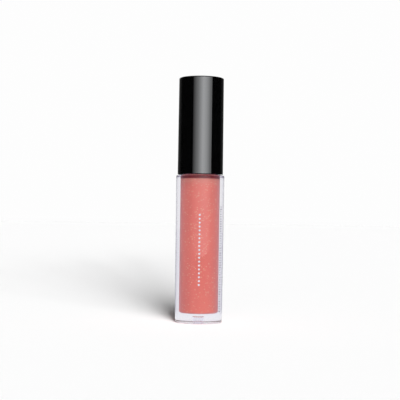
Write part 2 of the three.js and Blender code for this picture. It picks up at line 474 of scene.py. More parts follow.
# each lamp: compass in degrees from the front towards the right, elevation, and what it lights; a softbox
# has a distance, a size, its radiance and perhaps a profile of brightness across its width, and a sun has
# its angle across and its share of a pale floor's brightness
strip = {"compass": 7.5, "elevation": 12, "distance": 0.62, "size": (1.36, 0.5), "matt": False}
fill = {"lights": "matt", "mirror": False, "passes": "clear"}
side = {**fill, "elevation": 8, "distance": 0.6, "size": (0.5, 0.5)}
lamps = {
    "capStrip": {
        **strip, "radiance": 8.5, "tint": (0.975, 0.99, 1.01), "lights": "cap",
        "profile": [(0.0, 0.07), (0.12, 0.17), (0.32, 0.44), (0.52, 0.97), (0.62, 0.86), (0.75, 0.62),
                    (0.88, 0.34), (1.0, 0.3)],
    },
    "bottleStrip": {
        **strip, "radiance": 1.2, "lights": "clear",
        "profile": [(0.0, 0.0), (0.3, 0.45), (0.6, 1.0), (0.8, 0.6), (1.0, 0.0)],
    },
    "tubeKey": {
        "compass": 14, "elevation": 20, "distance": 0.6, "size": (0.8, 0.5), "radiance": 2.05,
        "lights": "matt", "passes": "clear",
    },
    "sideLeft": {**side, "compass": -78, "radiance": 0.5, "tint": (0.8, 1.0, 1.1)},
    "sideRight": {**side, "compass": 78, "radiance": 1.0, "tint": (0.75, 1.0, 1.1)},
    "under": {**fill, "compass": 0, "elevation": -70, "distance": 0.3, "size": (0.3, 0.3), "radiance": 0.25},
    "capBack": {
        "compass": 172, "elevation": 10, "distance": 0.62, "size": (0.2, 0.6), "radiance": 2.5,
        "lights": "cap", "matt": False,
        "profile": [(0.0, 0.0), (0.35, 0.8), (0.6, 1.0), (1.0, 0.1)],
    },
    "rearLeft": {
        "compass": 205, "elevation": 35, "distance": 0.7, "size": (0.25, 0.5), "radiance": 2.0,
        "lights": "tube",
    },
    "floorA": {"compass": 4, "elevation": 5.5, "across": 6.5, "share": 0.245, "lights": "floor"},
    "floorB": {"compass": 8, "elevation": 6.5, "across": 7.5, "share": 0.25, "lights": "floor"},
    "floorC": {"compass": 12, "elevation": 7.5, "across": 9, "share": 0.2, "lights": "floor"},
    "floorD": {"compass": 17, "elevation": 8, "across": 11, "share": 0.14, "lights": "floor"},
    "floorE": {"compass": 26, "elevation": 9, "across": 16, "share": 0.095, "lights": "floor"},
    "floorWide": {"compass": -4, "elevation": 13, "across": 24, "share": 0.02, "lights": "floor"},
}


def shineProfile(light, stops):
    # the light's brightness follows stops across its width
    light.use_nodes = True
    paint = Paint(light.node_tree)
    emission = next(n for n in light.node_tree.nodes if n.type == "EMISSION")
    across, _, _ = paint.split(paint.node("ShaderNodeNewGeometry").outputs["Parametric"])
    stops = [(place, (level,) * 3) for place, level in stops]
    ramp = paint.value("ShaderNodeValToRGB", {0: across}, stops=stops)
    paint.plug(emission.inputs["Strength"], ramp)


def makeLight(name, lamp):
    if "across" in lamp:
        light = bpy.data.lights.new(name, "SUN")
        light.angle = math.radians(lamp["across"])
        slope = math.sin(math.radians(lamp["elevation"]))
        light.energy = lamp["share"] * math.pi / floorSize["albedo"] / slope
        return light
    width, height = lamp["size"]
    light = bpy.data.lights.new(name, "AREA")
    light.shape = "RECTANGLE"
    light.size, light.size_y = width, height
    light.energy = lamp["radiance"] * math.pi * width * height  # watts that give this radiance
    light.color = lamp.get("tint", (1, 1, 1))
    if "profile" in lamp:
        shineProfile(light, lamp["profile"])
    return light


def makeLamps(groups):
    for name, lamp in lamps.items():
        holder = shown(name, makeLight(name, lamp))
        turn = Matrix.Rotation(math.radians(lamp["compass"]), 4, "Z")
        rise = Matrix.Rotation(math.radians(-lamp["elevation"]), 4, "X")
        out = (turn @ rise) @ Vector((0, -lamp.get("distance", 1.0), 0))
        aim = (-out).to_track_quat("-Z", "Y").to_matrix().to_4x4()
        holder.matrix_world = Matrix.Translation((cadBox[0] + cadBox[1]) / 2 + out) @ aim
        holder.visible_camera = False
        holder.visible_glossy = lamp.get("mirror", True)
        holder.visible_diffuse = lamp.get("matt", True)
        holder.visible_transmission = False
        holder.light_linking.receiver_collection = groups[lamp["lights"]]
        if "passes" in lamp:
            holder.light_linking.blocker_collection = groups["opaque"]


floor = makeFloor()
makeSky()
print("floor and sky made")


bottleSize = {
    "footRadius": 9.28,
    "shoulderTop": 58.05,
    "footRound": 0.45,
    "shoulderRound": 0.6,
    "recessRadius": 1.65,
    "recessDepth": 2.6,
    "recessRound": 0.35,
    "recessLip": 0.2,
    "cavityFloor": 3.75,
    "cavityFootRadius": 4.89,
    "cavityTopRadius": 4.95,
    "cavityFloorRound": 0.8,
    "cavityTop": 57.6,
    "neckRadius": 6.15,
    "boreRadius": 4.6,
    "boreFoot": 59.0,
    "lipRound": 0.3,
    "beadRadius": 6.75,
    "beadTop": 59.3,
    "sides": 144,
}

threadSize = {
    "lead": 3.0,
    "rootWidth": 1.15,
    "crestWidth": 0.5,
    "bite": 0.25,
    "neckCrest": 6.75,
    "neckStart": 62.0,
    "neckTurns": 1.75,
    "capCrest": 6.86,
    "capStart": 60.5,
    "capTurns": 1.6,
    "startAngle": 3.75,  # degrees
    "helixSteps": 64,
    "runOut": 0.045,  # the share of its length over which each end sinks in
    "endSize": 0.12,
    "fillet": 0.12,
}


def threadTree():
    # a trapezium swept up a helix, sinking into its wall at both ends
    grow = Grower("threadRib", {"Radius": 1.0, "Lead": 1.0, "Turns": 1.0, "Start": 0.0, "Depth": 0.1,
                                "Bite": 0.1, "Root": 1.0, "Crest": 0.5, "Facing": 1.0, "Angle": 0.0,
                                "Material": ""})
    turns, radius, facing, depth, bite = grow.numbers("Turns", "Radius", "Facing", "Depth", "Bite")
    helix = grow.shape("CurveSpiral", {
        "Resolution": threadSize["helixSteps"], "Rotations": turns, "Start Radius": radius,
        "End Radius": radius, "Height": turns * grow["Lead"]})
    helix = grow.moved(helix, Translation=grow.xyz(z=grow["Start"]),
                       Rotation=grow.xyz(z=grow["Angle"]))
    upright = grow.shape("SetCurveNormal", {0: helix}, mode="Z_UP")
    along = grow.value("GeometryNodeSplineParameter")
    ends = along.math("MINIMUM", 1.0 - along).fade(0.0, threadSize["runOut"], threadSize["endSize"], 1.0)
    sized = grow.shape("SetCurveRadius", {"Curve": upright, "Radius": ends})
    section = grow.shape("CurvePrimitiveQuadrilateral", {
        "Bottom Width": grow["Root"], "Top Width": grow["Crest"], "Height": depth + bite,
        "Offset": 0.0}, mode="TRAPEZOID")
    placed = grow.moved(section, Translation=grow.xyz(x=((depth + bite) * 0.5 - bite) * facing),
                        Rotation=grow.xyz(z=facing * (-math.pi / 2)))
    rounded = grow.shape("FilletCurve", {
        "Curve": placed, "Count": 3, "Radius": threadSize["fillet"] * mm, "Limit Radius": True},
        mode="POLY")
    rib = grow.shape("CurveToMesh", {
        "Curve": sized, "Profile Curve": rounded, "Fill Caps": True})
    return grow.close(rib)


def makeThread(name, wall, crest, start, turns, material):
    t = threadSize
    settings = {"Radius": wall * mm, "Lead": t["lead"] * mm, "Turns": turns, "Start": start * mm,
                "Depth": abs(crest - wall) * mm, "Bite": t["bite"] * mm, "Root": t["rootWidth"] * mm,
                "Crest": t["crestWidth"] * mm, "Facing": 1.0 if crest > wall else -1.0,
                "Angle": math.radians(t["startAngle"]), "Material": material}
    return sprouted(threadTree(), settings, name)


def bottleOutline():
    b = bottleSize
    shoulderRadius, _, top = span("bottle")
    foot, shoulder, floorRound = b["footRound"], b["shoulderRound"], b["cavityFloorRound"]
    lip, bead, pit = b["lipRound"], b["beadRadius"], b["recessRound"]
    return [
        (0, b["recessDepth"]),
        *bend(b["recessRadius"] - pit, b["recessDepth"] - pit, pit, 90, 0, 6),
        *corner(b["recessRadius"], 0, b["recessLip"], 180, 5),
        *corner(b["footRadius"], 0, foot, -90, 10),
        *corner(shoulderRadius, b["shoulderTop"], shoulder, 0, 12),
        (bead, b["shoulderTop"]),
        *corner(bead, b["beadTop"], lip, 0, 5),
        (b["neckRadius"], b["beadTop"]),
        *corner(b["neckRadius"], top, lip, 0, 5),
        *corner(b["boreRadius"], top, lip / 2, 90),
        (b["boreRadius"], b["boreFoot"]),
        (b["cavityTopRadius"], b["cavityTop"]),
        *bend(b["cavityFootRadius"] - floorRound, b["cavityFloor"] + floorRound, floorRound, 0, -90, 10),
        (0, b["cavityFloor"]),
    ]


petg = {
    "tint": (0.915, 0.91, 0.945),
    "denser": (0.905, 0.90, 0.94),
    "edge": (0.66, 0.58, 0.77),  # painted lilac shade in the moulded shoulder and foot edges, standing in for how they refract
    "roughness": (0.0, 0.02),
    "scuff": 0.35,  # extra roughness of the foot's edge, from standing
    "scuffed": (0.3, 0.5),  # millimetres up from the foot
    "footEdge": (0.2, 0.6),
    "footShare": 0.45,
    "shoulderEdge": (57.2, 57.6),
    "shoulderEnd": (58.6, 58.3),
}


def petgRecipe(paint):
    # clear moulded plastic: a trace of haze and of flow along the tube, with painted lilac shade at its
    # shoulder and foot edges
    p = petg
    flow = paint.noise(0.18, 2.0, (1, 1, 0.25))
    _, _, z = paint.axes()
    haze = paint.noise(2.0, 3.0).fade(0.45, 0.8, *p["roughness"]) + z.fade(*p["scuffed"], p["scuff"], 0.0)
    # painted shade: a darker lilac band at the shoulder's rounded edge and, fainter, at the foot's
    shoulder = z.fade(*p["shoulderEdge"]) * z.fade(*p["shoulderEnd"])
    edge = shoulder + z.fade(*p["footEdge"], p["footShare"], 0.0)
    tint = paint.mix(p["tint"], p["denser"], flow)
    return {"Base Color": paint.mix(tint, p["edge"], edge), "Roughness": haze}


clearPetg = surfaced("clearPetg", petgRecipe, {"IOR": 1.57, "Transmission Weight": 1.0})


def makeBottle():
    t = threadSize
    bottle = turned("bottleBody", bottleOutline(), bottleSize["sides"])
    rib = makeThread("neckThread", bottleSize["neckRadius"], t["neckCrest"], t["neckStart"], t["neckTurns"],
                     clearPetg)
    bottle = merged(bottle, rib)
    return dress(bottle, clearPetg, "bottle", "clear_plastic", "bottle")


bottleBody = makeBottle()
print("bottle made:", len(bottleBody.data.polygons), "faces")


glossSize = {
    "proud": 0.02,  # how far the liquid wets into the wall, so that no film of air is left between them
    "meniscus": 0.35,
    "cling": [(0.3, 0.7), (1.2, 1.0)],  # in from the wall, and the share of the meniscus
    "sides": 144,
}

shimmer = {
    "rose": (0.95, 0.245, 0.195),
    "coral": (0.99, 0.268, 0.205),
    "peach": (1.0, 0.38, 0.29),
    "gold": (1.0, 0.68, 0.44),
    "maroon": (0.25, 0.018, 0.03),
    "grain": 2.6,  # flakes a millimetre
    "tilt": 0.5,  # how far the flakes lean from the surface
    "shadeFoot": 56.45,  # the cap's shade at the top of the liquid
    "shadeTop": 56.95,
    "glowFoot": 53.5,  # and the light that the shoulder gathers under it
    "peachShare": 0.8,
    "maroonShare": 0.92,
    "chosen": (0.87, 0.9),  # the draws that make a cell a flake
    "flakeEdge": (0.45, 0.3),
    "flakeMetal": 0.3,
    "roughness": (0.6, 0.28),  # of the liquid and of a flake
}


def glossOutline():
    b, g = bottleSize, glossSize
    proud = g["proud"]
    top = span("gloss")[2]
    floorRound = b["cavityFloorRound"]
    wall = b["cavityFootRadius"] + proud
    return [
        (0, b["cavityFloor"] - proud),
        *corner(wall, b["cavityFloor"] - proud, floorRound, -90, 10),
        (b["cavityTopRadius"] + proud, b["cavityTop"]),
        (b["boreRadius"] + proud, b["boreFoot"]),
        (b["boreRadius"] + proud, top),
        *[(b["boreRadius"] - reach, top - g["meniscus"] * share) for reach, share in g["cling"]],
        (0, top - g["meniscus"]),
    ]


def flakeNormal(paint, draws, tilt):
    # the surface's normal, leaned by tilt in the way that each flake's own colour draw says
    lean = paint.vector("SCALE", paint.vector("SUBTRACT", draws, (0.5, 0.5, 0.5)), tilt)
    upright = paint.node("ShaderNodeNewGeometry").outputs["Normal"]
    return paint.vector("NORMALIZE", paint.vector("ADD", upright, lean))


def glossRecipe(paint):
    # coral liquid with pearl, scattered gold flakes, a painted peach glow under the shoulder and the cap's
    # painted shade at its top
    g = shimmer
    cells = paint.node("ShaderNodeTexVoronoi", {"Vector": paint.place(), "Scale": g["grain"]})
    size = Value(paint, cells.outputs["Distance"])
    draws = cells.outputs["Color"]
    lottery, _, _ = paint.split(draws, "ShaderNodeSeparateColor")
    swirl = paint.noise(0.16, 2.0, (1, 1, 0.4))
    _, _, z = paint.axes()
    glow = z.fade(g["glowFoot"], g["shadeFoot"]) * g["peachShare"]
    body = paint.mix(g["rose"], g["coral"], swirl.fade(0.3, 0.7))
    body = paint.mix(body, g["peach"], glow)
    flake = lottery.fade(*g["chosen"]) * size.fade(*g["flakeEdge"])
    shade = z.fade(g["shadeFoot"], g["shadeTop"]) * g["maroonShare"]
    colour = paint.mix(paint.mix(body, g["gold"], flake), g["maroon"], shade)
    return {"Base Color": colour, "Roughness": flake.fade(0.0, 1.0, *g["roughness"]),
            "Metallic": flake * g["flakeMetal"], "Normal": flakeNormal(paint, draws, flake * g["tilt"])}


coralGloss = surfaced("coralGloss", glossRecipe, {
    "IOR": 1.45, "Specular IOR Level": 0.05, "Sheen Weight": 1.0, "Sheen Roughness": 0.5,
    "Sheen Tint": (1.0, 0.82, 0.92, 1.0)})
glossColumn = dress(turned("glossColumn", glossOutline(), glossSize["sides"]), coralGloss, "bottle",
                    "gloss_liquid", "gloss")
print("gloss made")


capSize = {
    "topRadius": 8.87,
    "boreRadius": 7.95,
    "topWall": 1.2,
    "topRound": 0.45,
    "edgeRound": 0.18,
    "sides": 160,
}

capBlack = {
    "colour": (0.0015, 0.0015, 0.0017),
    "worn": (0.003, 0.003, 0.0034),
    "roughness": (0.05, 0.09),
    "scratched": 0.03,
    "relief": 0.0015,
}


def capOutline():
    c = capSize
    radius, foot, top = span("outer_cap")
    crown = c["topRound"]
    return [
        (0, top - c["topWall"]),
        *bend(c["boreRadius"] - crown, top - c["topWall"] - crown, crown, 90, 0, 6),
        *corner(c["boreRadius"], foot, c["edgeRound"], 180),
        *corner(radius, foot, c["edgeRound"], -90, 6),
        *corner(c["topRadius"], top, crown, 0, 10),
        (0, top),
    ]


def capRecipe(paint):
    # polished black plastic: faint cloudiness from handling and hair-fine scratches round the tube
    c = capBlack
    cloud = paint.noise(0.12, 4.0)
    scratch = paint.noise(1.2, 3.0, (0.12, 0.12, 5.0)).fade(0.62, 0.74)
    rough = cloud.fade(0.4, 0.75, *c["roughness"]) + scratch * c["scratched"]
    return {"Base Color": paint.mix(c["colour"], c["worn"], cloud), "Roughness": rough,
            "Normal": paint.bump(cloud, c["relief"])}


glossBlack = surfaced("glossBlack", capRecipe, {"IOR": 1.5})
capShell = dress(turned("capShell", capOutline(), capSize["sides"]), glossBlack, "cap", "cap_black",
                 "outer_cap")
print("cap made")


wiperSize = {
    "orificeRadius": 2.35,
    "lip": 0.4,
    "funnelTop": 64.6,
    "wall": 0.72,
    "flangeThickness": 0.75,
    "beadFoot": 66.4,
    "beadTop": 67.4,
    "inset": 0.12,
    "edge": 0.12,
    "sides": 96,
}

softPlastic = {
    "pale": (0.80, 0.79, 0.76),
    "stained": (0.80, 0.36, 0.30),  # by the gloss that it strips
    "bore": (3.9, 3.7),
    "wetTop": (71.6, 69.0),
    "roughness": (0.42, 0.12),
    "relief": 0.01,
}


def wiperOutline():
    w, b = wiperSize, bottleSize
    flange, foot, top = span("wiper")
    bead, plug, edge = b["boreRadius"] - 0.05, b["boreRadius"] - w["inset"], w["edge"]
    bore = plug - w["wall"]
    flangeFoot = top - w["flangeThickness"]
    return [
        *bend(w["orificeRadius"] + w["lip"] / 2, foot + w["lip"] / 2, w["lip"] / 2, 180, 330, 8),
        (plug, w["funnelTop"]),
        (plug, w["beadFoot"]),
        *bend(plug - edge, (w["beadFoot"] + w["beadTop"]) / 2, bead - plug + edge, -60, 60, 6),
        (plug, w["beadTop"]),
        (plug, flangeFoot),
        *corner(flange, flangeFoot, edge, -90),
        *corner(flange, top, edge, 0),
        *corner(bore, top, w["lip"], 90, 6),
        (bore, w["funnelTop"] + w["lip"]),
        (w["orificeRadius"], foot + w["lip"]),
        (w["orificeRadius"], foot + w["lip"] / 2),
    ]


def wiperRecipe(paint):
    # milky polyethylene, smeared with gloss inside the funnel
    w = softPlastic
    x, y, z = paint.axes()
    radius = (x * x + y * y) ** 0.5
    smear = paint.noise(0.8, 4.0, (1, 1, 0.5))
    inside = radius.fade(*w["bore"]) * z.fade(*w["wetTop"])
    wet = (smear * 0.6 + inside).fade(0.75, 1.05)
    return {"Base Color": paint.mix(w["pale"], w["stained"], wet),
            "Roughness": wet.fade(0.0, 1.0, *w["roughness"]),
            "Normal": paint.bump(paint.noise(3.0, 2.0), w["relief"])}


milkyPlastic = surfaced("milkyPlastic", wiperRecipe, {
    "IOR": 1.51, "Subsurface Weight": 0.25, "Subsurface Radius": (1.0, 0.9, 0.8),
    "Subsurface Scale": 0.4 * mm})
wiperInsert = dress(turned("wiperInsert", wiperOutline(), wiperSize["sides"]), milkyPlastic, "bottle",
                    "wiper_plastic", "wiper")
print("wiper made")

linerSize = {
    "boreRadius": 7.3,
    "webFoot": 73.05,
    "webTop": 74.6,
    "bossRadius": 3.6,
    "bossBore": 2.45,
    "rim": 0.9,
    "edge": 0.14,
    "sides": 112,
    "gussets": 8,  # stiffening ribs between the boss and the rim
    "gussetWall": 0.7,
    "gussetHeight": 2.6,
    "gussetLean": 0.72,  # how much of its height a gusset loses at the rim
    "gussetBite": 0.2,
    "dark": (0.010, 0.010, 0.011),
    "light": (0.016, 0.016, 0.017),
    "roughness": (0.36, 0.5),
    "relief": 0.006,
}


def linerOutline():
    c = linerSize
    radius, foot, top = span("inner_cap")
    edge, bore, web = c["edge"], c["boreRadius"], c["webTop"]
    rimTop = web + c["rim"]
    return [
        *corner(bore, foot, edge, 180),
        *corner(radius, foot, edge, -90),
        *corner(radius, rimTop, edge, 0),
        (bore, rimTop),
        *bend(bore - edge, web + edge, edge, 0, -90, 4),
        *bend(c["bossRadius"] + edge, web + edge, edge, -90, -180, 4),
        *corner(c["bossRadius"], top, edge, 0),
        *corner(c["bossBore"], top, edge, 90),
        (c["bossBore"], c["webFoot"]),
        *bend(bore - edge, c["webFoot"] - edge, edge, 90, 0, 4),
        (bore, foot + edge),
    ]


def gussetTree():
    # wedges in a ring, each leaning from the boss down to the web
    grow = Grower("gussets", {"Count": 8, "Inner": 1.0, "Outer": 2.0, "Foot": 0.0, "Height": 1.0,
                              "Wall": 0.1, "Material": ""})
    inner, outer, foot, height, wall = grow.numbers("Inner", "Outer", "Foot", "Height", "Wall")
    length = outer - inner
    block = grow.shape("MeshCube", {0: grow.xyz(length, wall, height), 1: 2, 2: 2, 3: 2})
    x, _, z = grow.split(grow.shape("InputPosition"))
    topShare = (z / height) + 0.5
    outShare = (x / length) + 0.5
    sunk = topShare * outShare * height * -linerSize["gussetLean"]
    leaning = grow.shape("SetPosition", {"Geometry": block, "Offset": grow.xyz(
        (inner + outer) * 0.5, 0.0, foot + height * 0.5 + sunk)})
    count = grow["Count"]
    ring = grow.shape("Points", {0: count})
    turn = grow.xyz(z=grow.value("GeometryNodeInputIndex") * (2 * math.pi) / count)
    return grow.close(grow.shape("InstanceOnPoints", {"Points": ring, "Instance": leaning, "Rotation": turn}))


def satinRecipe(paint):
    # moulded polypropylene: fine spark-eroded grain and a little flow mark
    c = linerSize
    grain = paint.noise(9.0, 2.0)
    flow = paint.noise(0.3, 3.0, (1, 1, 0.3))
    return {"Base Color": paint.mix(c["dark"], c["light"], flow),
            "Roughness": grain.fade(0.3, 0.7, *c["roughness"]), "Normal": paint.bump(grain, c["relief"])}


satinBlack = surfaced("satinBlack", satinRecipe, {"IOR": 1.49})


def makeLiner():
    c, t = linerSize, threadSize
    liner = turned("capLiner", linerOutline(), c["sides"])
    rib = makeThread("linerThread", c["boreRadius"], t["capCrest"], t["capStart"], t["capTurns"], satinBlack)
    liner = merged(liner, rib)
    bite = c["gussetBite"]
    wedges = sprouted(gussetTree(), {
        "Count": c["gussets"], "Inner": (c["bossRadius"] - bite) * mm, "Outer": (c["boreRadius"] + bite) * mm,
        "Foot": (c["webTop"] - bite) * mm, "Height": c["gussetHeight"] * mm, "Wall": c["gussetWall"] * mm,
        "Material": satinBlack}, "gussets")
    return dress(merged(liner, wedges), satinBlack, "cap", "liner_black", "inner_cap")


capLiner = makeLiner()
print("cap liner made:", len(capLiner.data.polygons), "faces")

washerSize = {
    "boreRadius": 3.5,
    "round": 0.16,
    "dent": 0.07,  # pressed by the wiper's flange
    "dentFrom": 4.2,
    "dentTo": 5.95,
    "sides": 96,
    "cells": 6.0,  # a millimetre
    # painted shade in the open cells
    "pitted": (0.66, 0.64, 0.61),
    "dull": (0.86, 0.85, 0.82),
    "bright": (0.92, 0.91, 0.89),
    "roughness": (0.72, 0.85),
    "relief": 0.04,
}


def washerOutline():
    w = washerSize
    radius, foot, top = span("sealing_washer")
    r, dent = w["round"], w["dent"]
    return [
        *corner(w["boreRadius"], foot, r, 180),
        (w["dentFrom"] - dent, foot),
        (w["dentFrom"] + dent, foot + dent),
        (w["dentTo"] - dent, foot + dent),
        (w["dentTo"] + dent, foot),
        *corner(radius, foot, r, -90),
        *corner(radius, top, r, 0),
        *corner(w["boreRadius"], top, r, 90),
        (w["boreRadius"], foot + r),
    ]


def foamRecipe(paint):
    # closed-cell foam with fine open cells where it was cut, with painted shade in the cells
    w = washerSize
    cells = paint.node("ShaderNodeTexVoronoi", {"Vector": paint.place(), "Scale": w["cells"]})
    pit = Value(paint, cells.outputs["Distance"]).fade(0.1, 0.55)
    cloud = paint.noise(0.7, 3.0)
    colour = paint.mix(w["dull"], w["bright"], cloud)
    # painted shade: darker colour down in each pit
    return {"Base Color": paint.mix(w["pitted"], colour, pit),
            "Roughness": cloud.fade(0.3, 0.7, *w["roughness"]), "Normal": paint.bump(pit, w["relief"])}


sealFoam = surfaced("sealFoam", foamRecipe, {"IOR": 1.45})
sealRing = dress(turned("sealRing", washerOutline(), washerSize["sides"]), sealFoam, "washer", "washer_foam",
                 "sealing_washer")
print("washer made")

stemSize = {
    "radius": 1.9,
    "socketRadius": 1.15,
    "socketTop": 31.0,
    "footRound": 0.3,
    "shoulderFoot": 71.3,
    "collarFoot": 72.05,
    "collarTop": 72.95,
    "headRadius": 2.4,
    "headRound": 0.3,
    "edge": 0.12,
    "sides": 72,
    "dark": (0.72, 0.70, 0.66),
    "light": (0.80, 0.78, 0.75),
    "wet": (0.62, 0.18, 0.145),
    "filmed": (59.0, 30.0),  # the film thickens between these heights
    "wiped": (62.5, 60.5),  # and ends under the wiper's lip
    "roughness": (0.34, 0.1),
    "relief": 0.05,
}


def stemOutline():
    s = stemSize
    collar, foot, top = span("stem")
    edge, footRound = s["edge"], s["footRound"]
    return [
        (0, s["socketTop"]),
        (s["socketRadius"], s["socketTop"] - 0.3),
        (s["socketRadius"], foot + edge),
        (s["socketRadius"] + edge, foot),
        *corner(s["radius"], foot, footRound, -90, 6),
        *bend(s["radius"] + 0.9, s["shoulderFoot"] - 0.2, 0.9, 180, 138, 5, 0.75),
        (collar - edge, s["collarFoot"]),
        *bend(collar - edge, s["collarFoot"] + edge, edge, -60, 0, 3),
        *corner(collar, s["collarTop"], edge, 0),
        (s["headRadius"], s["collarTop"]),
        *corner(s["headRadius"], top, s["headRound"], 0, 5),
        (0, top),
    ]


def stemRecipe(paint):
    # natural moulded rod; below the wiper it wears a thin, uneven film of gloss
    s = stemSize
    _, _, z = paint.axes()
    film = paint.noise(0.55, 3.0, (1, 1, 0.35))
    wet = (film * 0.7 + z.fade(*s["filmed"], 0.25, 0.62)).fade(0.62, 0.86) * z.fade(*s["wiped"])
    grain = paint.noise(5.0, 2.0)
    natural = paint.mix(s["dark"], s["light"], paint.noise(0.2, 2.0))
    return {"Base Color": paint.mix(natural, s["wet"], wet), "Roughness": wet.fade(0.0, 1.0, *s["roughness"]),
            "Normal": paint.bump(wet * 0.9 + grain * 0.04, s["relief"])}


filmedRod = surfaced("filmedRod", stemRecipe, {
    "IOR": 1.49, "Subsurface Weight": 0.15, "Subsurface Radius": (1.0, 0.8, 0.7),
    "Subsurface Scale": 0.5 * mm})
wandStem = dress(turned("wandStem", stemOutline(), stemSize["sides"]), filmedRod, "stem", "wand_plastic",
                 "stem")
print("stem made")

coreLook = {
    "stained": (0.55, 0.20, 0.165),
    "natural": (0.74, 0.70, 0.66),
    "clean": (24.0, 30.0),  # the stain ends between these heights
    "roughness": (0.4, 0.55),
    "relief": 0.01,
}


def coreRecipe(paint):
    # the moulded tip under the flock, stained through by the gloss
    c = coreLook
    stain = paint.noise(0.6, 4.0)
    _, _, z = paint.axes()
    share = (stain * 0.4 + z.fade(*c["clean"])).fade(0.3, 1.1)
    return {"Base Color": paint.mix(c["stained"], c["natural"], share),
            "Roughness": stain.fade(0.3, 0.7, *c["roughness"]),
            "Normal": paint.bump(paint.noise(4.0, 2.0), c["relief"])}


stainedRod = surfaced("stainedRod", coreRecipe, {"IOR": 1.49})
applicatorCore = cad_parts["applicator_core"].data.materials
applicatorCore.clear()
applicatorCore.append(stainedRod)
print("applicator core painted")

tipSize = {
    "radius": 2.15,
    "noseHeight": 3.2,
    "topRound": 0.5,
    "slantTop": 20.5,
    "slantFootOffset": -0.75,  # where the slanted face meets the foot, from the axis
    "facing": -135.0,  # degrees, the way that the slanted face looks
    "boreRadius": 1.15,
    "bed": 0.24,  # the coat's ground under its standing fibres
    "bedWall": 0.16,
    "fibres": 5200,
    "fibreLength": 0.34,
    "fibreWidth": 0.045,
    "lean": 0.5,  # radians at most
    "area": 190.0,  # square millimetres that the fibres stand on
    "seed": 7,
    "stature": (0.65, 1.1),  # of each fibre
    "crease": 50,  # degrees
    "sides": 48,
    "drill": (-2.0, 1.0),  # from the coat's top
    "wetter": (25.4, 20.0),
    "dry": [(0.80, 0.42, 0.37), (0.74, 0.33, 0.28)],
    "soaked": [(0.62, 0.15, 0.12), (0.72, 0.20, 0.16)],
    "roughness": (0.55, 0.18),
}


def tipSurface(inset):
    # the round-nosed tip with its slanted face, drawn inset from the ends of the fibres
    t = tipSize
    _, lowest, highest = span("flock_coat")
    radius, foot, top = t["radius"] - inset, lowest + inset, highest - max(inset - t["bed"], 0.02)
    nose, crown = t["noseHeight"] - inset, t["topRound"]
    outline = [
        *bend(0, foot + nose, radius, -90, 0, 12, nose),
        *[(radius, foot + nose + (top - crown - foot - nose) * i / 24) for i in range(1, 24)],
        *corner(radius, top, crown, 0, 5),
        (0, top),
    ]
    run = t["radius"] - t["slantFootOffset"]
    rise = t["slantTop"] - lowest
    facing = math.radians(t["facing"])
    x, y = math.cos(facing), math.sin(facing)
    normal = Vector((x * rise, y * rise, -run)) / math.hypot(run, rise)
    edge = Vector((x * t["radius"], y * t["radius"], t["slantTop"])) - normal * inset
    mesh = bmesh.new()
    shell = turned("tipSurface", outline, t["sides"])
    mesh.from_mesh(shell.data)
    bpy.data.objects.remove(shell)
    cut = bmesh.ops.bisect_plane(mesh, geom=mesh.verts[:] + mesh.edges[:] + mesh.faces[:], dist=1e-7,
                                 plane_co=edge * mm, plane_no=normal, clear_outer=True)
    rim = [e for e in cut["geom_cut"] if isinstance(e, bmesh.types.BMEdge)]
    bmesh.ops.holes_fill(mesh, edges=rim, sides=0)
    bmesh.ops.triangulate(mesh, faces=[f for f in mesh.faces if len(f.verts) > 4])
    bmesh.ops.recalc_face_normals(mesh, faces=mesh.faces)
    return mesh


def flockTree():
    # short tapered fibres scattered over a surface, everywhere but on its flat top
    grow = Grower("flockFibres", {"Density": 1.0, "Length": 1.0, "Width": 0.1, "Lean": 0.5, "Seed": 0,
                                  "Material": ""})
    length, width, lean, seed = grow.numbers("Length", "Width", "Lean", "Seed")
    _, _, upward = grow.split(grow.shape("InputNormal"))
    sideFaces = grow.value("FunctionNodeCompare", {0: upward, 1: 0.95}, operation="LESS_THAN")
    spread = grow.node("GeometryNodeDistributePointsOnFaces", {
        "Mesh": grow["Geometry"], "Selection": sideFaces, "Density": grow["Density"],
        "Seed": seed}).outputs
    fibre = grow.shape("MeshCone", {"Vertices": 4, "Side Segments": 1, "Radius Top": width * 0.2,
                                    "Radius Bottom": width * 0.5, "Depth": length})
    lowest, highest = grow.xyz(lean * -1.0, lean * -1.0, 0.0), grow.xyz(lean, lean, 2 * math.pi)
    draw = grow.value("FunctionNodeRandomValue", {0: lowest, 1: highest, "Seed": seed},
                      data_type="FLOAT_VECTOR")
    turn = grow.value("FunctionNodeRotateRotation", {0: spread["Rotation"], 1: draw}, rotation_space="LOCAL")
    stature = grow.drawn(*tipSize["stature"], seed)
    return grow.close(grow.shape("InstanceOnPoints", {
        "Points": spread[0], "Instance": fibre, "Rotation": turn, "Scale": stature}))


def tipRecipe(paint):
    # nylon flock soaked in gloss, wetter in some places
    _, _, z = paint.axes()
    soak = paint.noise(0.5, 3.0, (1, 1, 0.6))
    strand = paint.noise(7.0, 1.0)
    wet = (soak + z.fade(*tipSize["wetter"], -0.12, 0.1)).fade(0.35, 0.7)
    dry, soaked = (paint.mix(*tipSize[key], strand) for key in ("dry", "soaked"))
    return {"Base Color": paint.mix(dry, soaked, wet), "Roughness": wet.fade(0.0, 1.0, *tipSize["roughness"])}


soakedFlock = surfaced("soakedFlock", tipRecipe, {"IOR": 1.5, "Sheen Weight": 0.3, "Sheen Roughness": 0.4})


